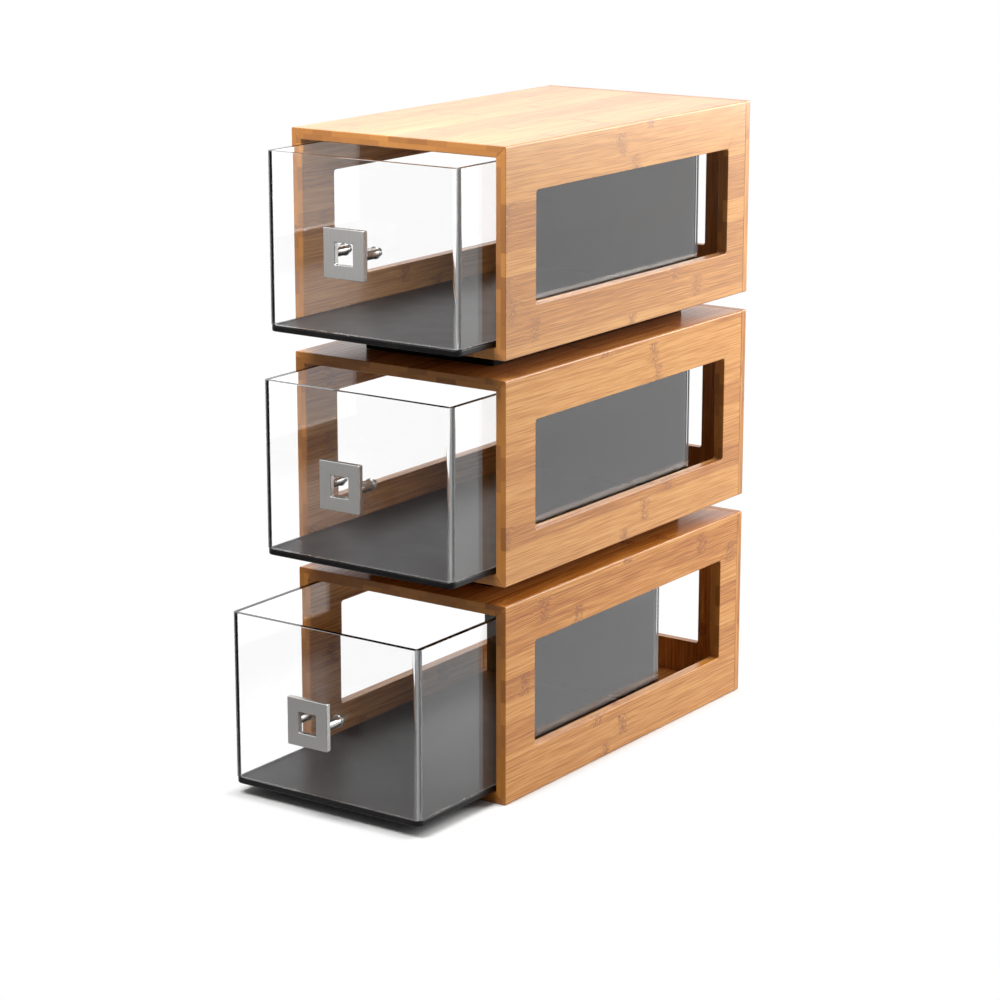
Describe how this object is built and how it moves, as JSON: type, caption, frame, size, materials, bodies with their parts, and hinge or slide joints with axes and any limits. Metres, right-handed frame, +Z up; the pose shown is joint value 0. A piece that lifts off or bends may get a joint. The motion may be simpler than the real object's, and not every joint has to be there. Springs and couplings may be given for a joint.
{
  "type": "display case",
  "caption": "Stacked bamboo bakery display case with windows at the sides and back, and clear pull-out drawers with square metal handles.",
  "frame": {"origin": "centre of the underside of the lowest case, on the surface that it stands on", "axes": "+Z up, +X to the viewer's right of someone who faces the drawers, +Y from the drawers' fronts to the back panels"},
  "size_m": [0.222, 0.5235, 0.5655],
  "materials": {
    "bamboo": "laminated bamboo board, sanded and clear lacquered",
    "black_plastic": "black moulded plastic, satin",
    "black_acrylic": "black acrylic sheet, gloss",
    "clear_acrylic": "clear acrylic sheet, polished",
    "brushed_steel": "stainless steel, brushed",
    "polished_steel": "stainless steel, polished",
    "screw_steel": "plain steel"
  },
  "bodies": {
    "case": {"lower_top_panel": "bamboo", "lower_bottom_panel": "bamboo", "lower_left_panel": "bamboo", "lower_right_panel": "bamboo", "lower_back_panel": "bamboo", "middle_top_panel": "bamboo", "middle_bottom_panel": "bamboo", "middle_left_panel": "bamboo", "middle_right_panel": "bamboo", "middle_back_panel": "bamboo", "middle_spacer": "black_plastic", "middle_spacer_front_left_screw": "screw_steel", "middle_spacer_front_right_screw": "screw_steel", "middle_spacer_rear_left_screw": "screw_steel", "middle_spacer_rear_right_screw": "screw_steel", "upper_top_panel": "bamboo", "upper_bottom_panel": "bamboo", "upper_left_panel": "bamboo", "upper_right_panel": "bamboo", "upper_back_panel": "bamboo", "upper_spacer": "black_plastic", "upper_spacer_front_left_screw": "screw_steel", "upper_spacer_front_right_screw": "screw_steel", "upper_spacer_rear_left_screw": "screw_steel", "upper_spacer_rear_right_screw": "screw_steel"},
    "lower_drawer": {"lower_drawer_base": "black_plastic", "lower_drawer_wall": "clear_acrylic", "lower_drawer_back": "black_acrylic", "lower_handle_plate": "brushed_steel", "lower_left_post": "polished_steel", "lower_right_post": "polished_steel", "lower_left_screw": "screw_steel", "lower_right_screw": "screw_steel"},
    "middle_drawer": {"middle_drawer_base": "black_plastic", "middle_drawer_wall": "clear_acrylic", "middle_drawer_back": "black_acrylic", "middle_handle_plate": "brushed_steel", "middle_left_post": "polished_steel", "middle_right_post": "polished_steel", "middle_left_screw": "screw_steel", "middle_right_screw": "screw_steel"},
    "upper_drawer": {"upper_drawer_base": "black_plastic", "upper_drawer_wall": "clear_acrylic", "upper_drawer_back": "black_acrylic", "upper_handle_plate": "brushed_steel", "upper_left_post": "polished_steel", "upper_right_post": "polished_steel", "upper_left_screw": "screw_steel", "upper_right_screw": "screw_steel"}
  },
  "joints": [
    {"name": "lower_drawer_slide", "type": "slide", "parent": "case", "child": "lower_drawer", "axis": [0, -1, 0], "range_m": [-0.108, 0.192]},
    {"name": "middle_drawer_slide", "type": "slide", "parent": "case", "child": "middle_drawer", "axis": [0, -1, 0], "range_m": [-0.06, 0.24]},
    {"name": "upper_drawer_slide", "type": "slide", "parent": "case", "child": "upper_drawer", "axis": [0, -1, 0], "range_m": [-0.05, 0.25]}
  ]
}
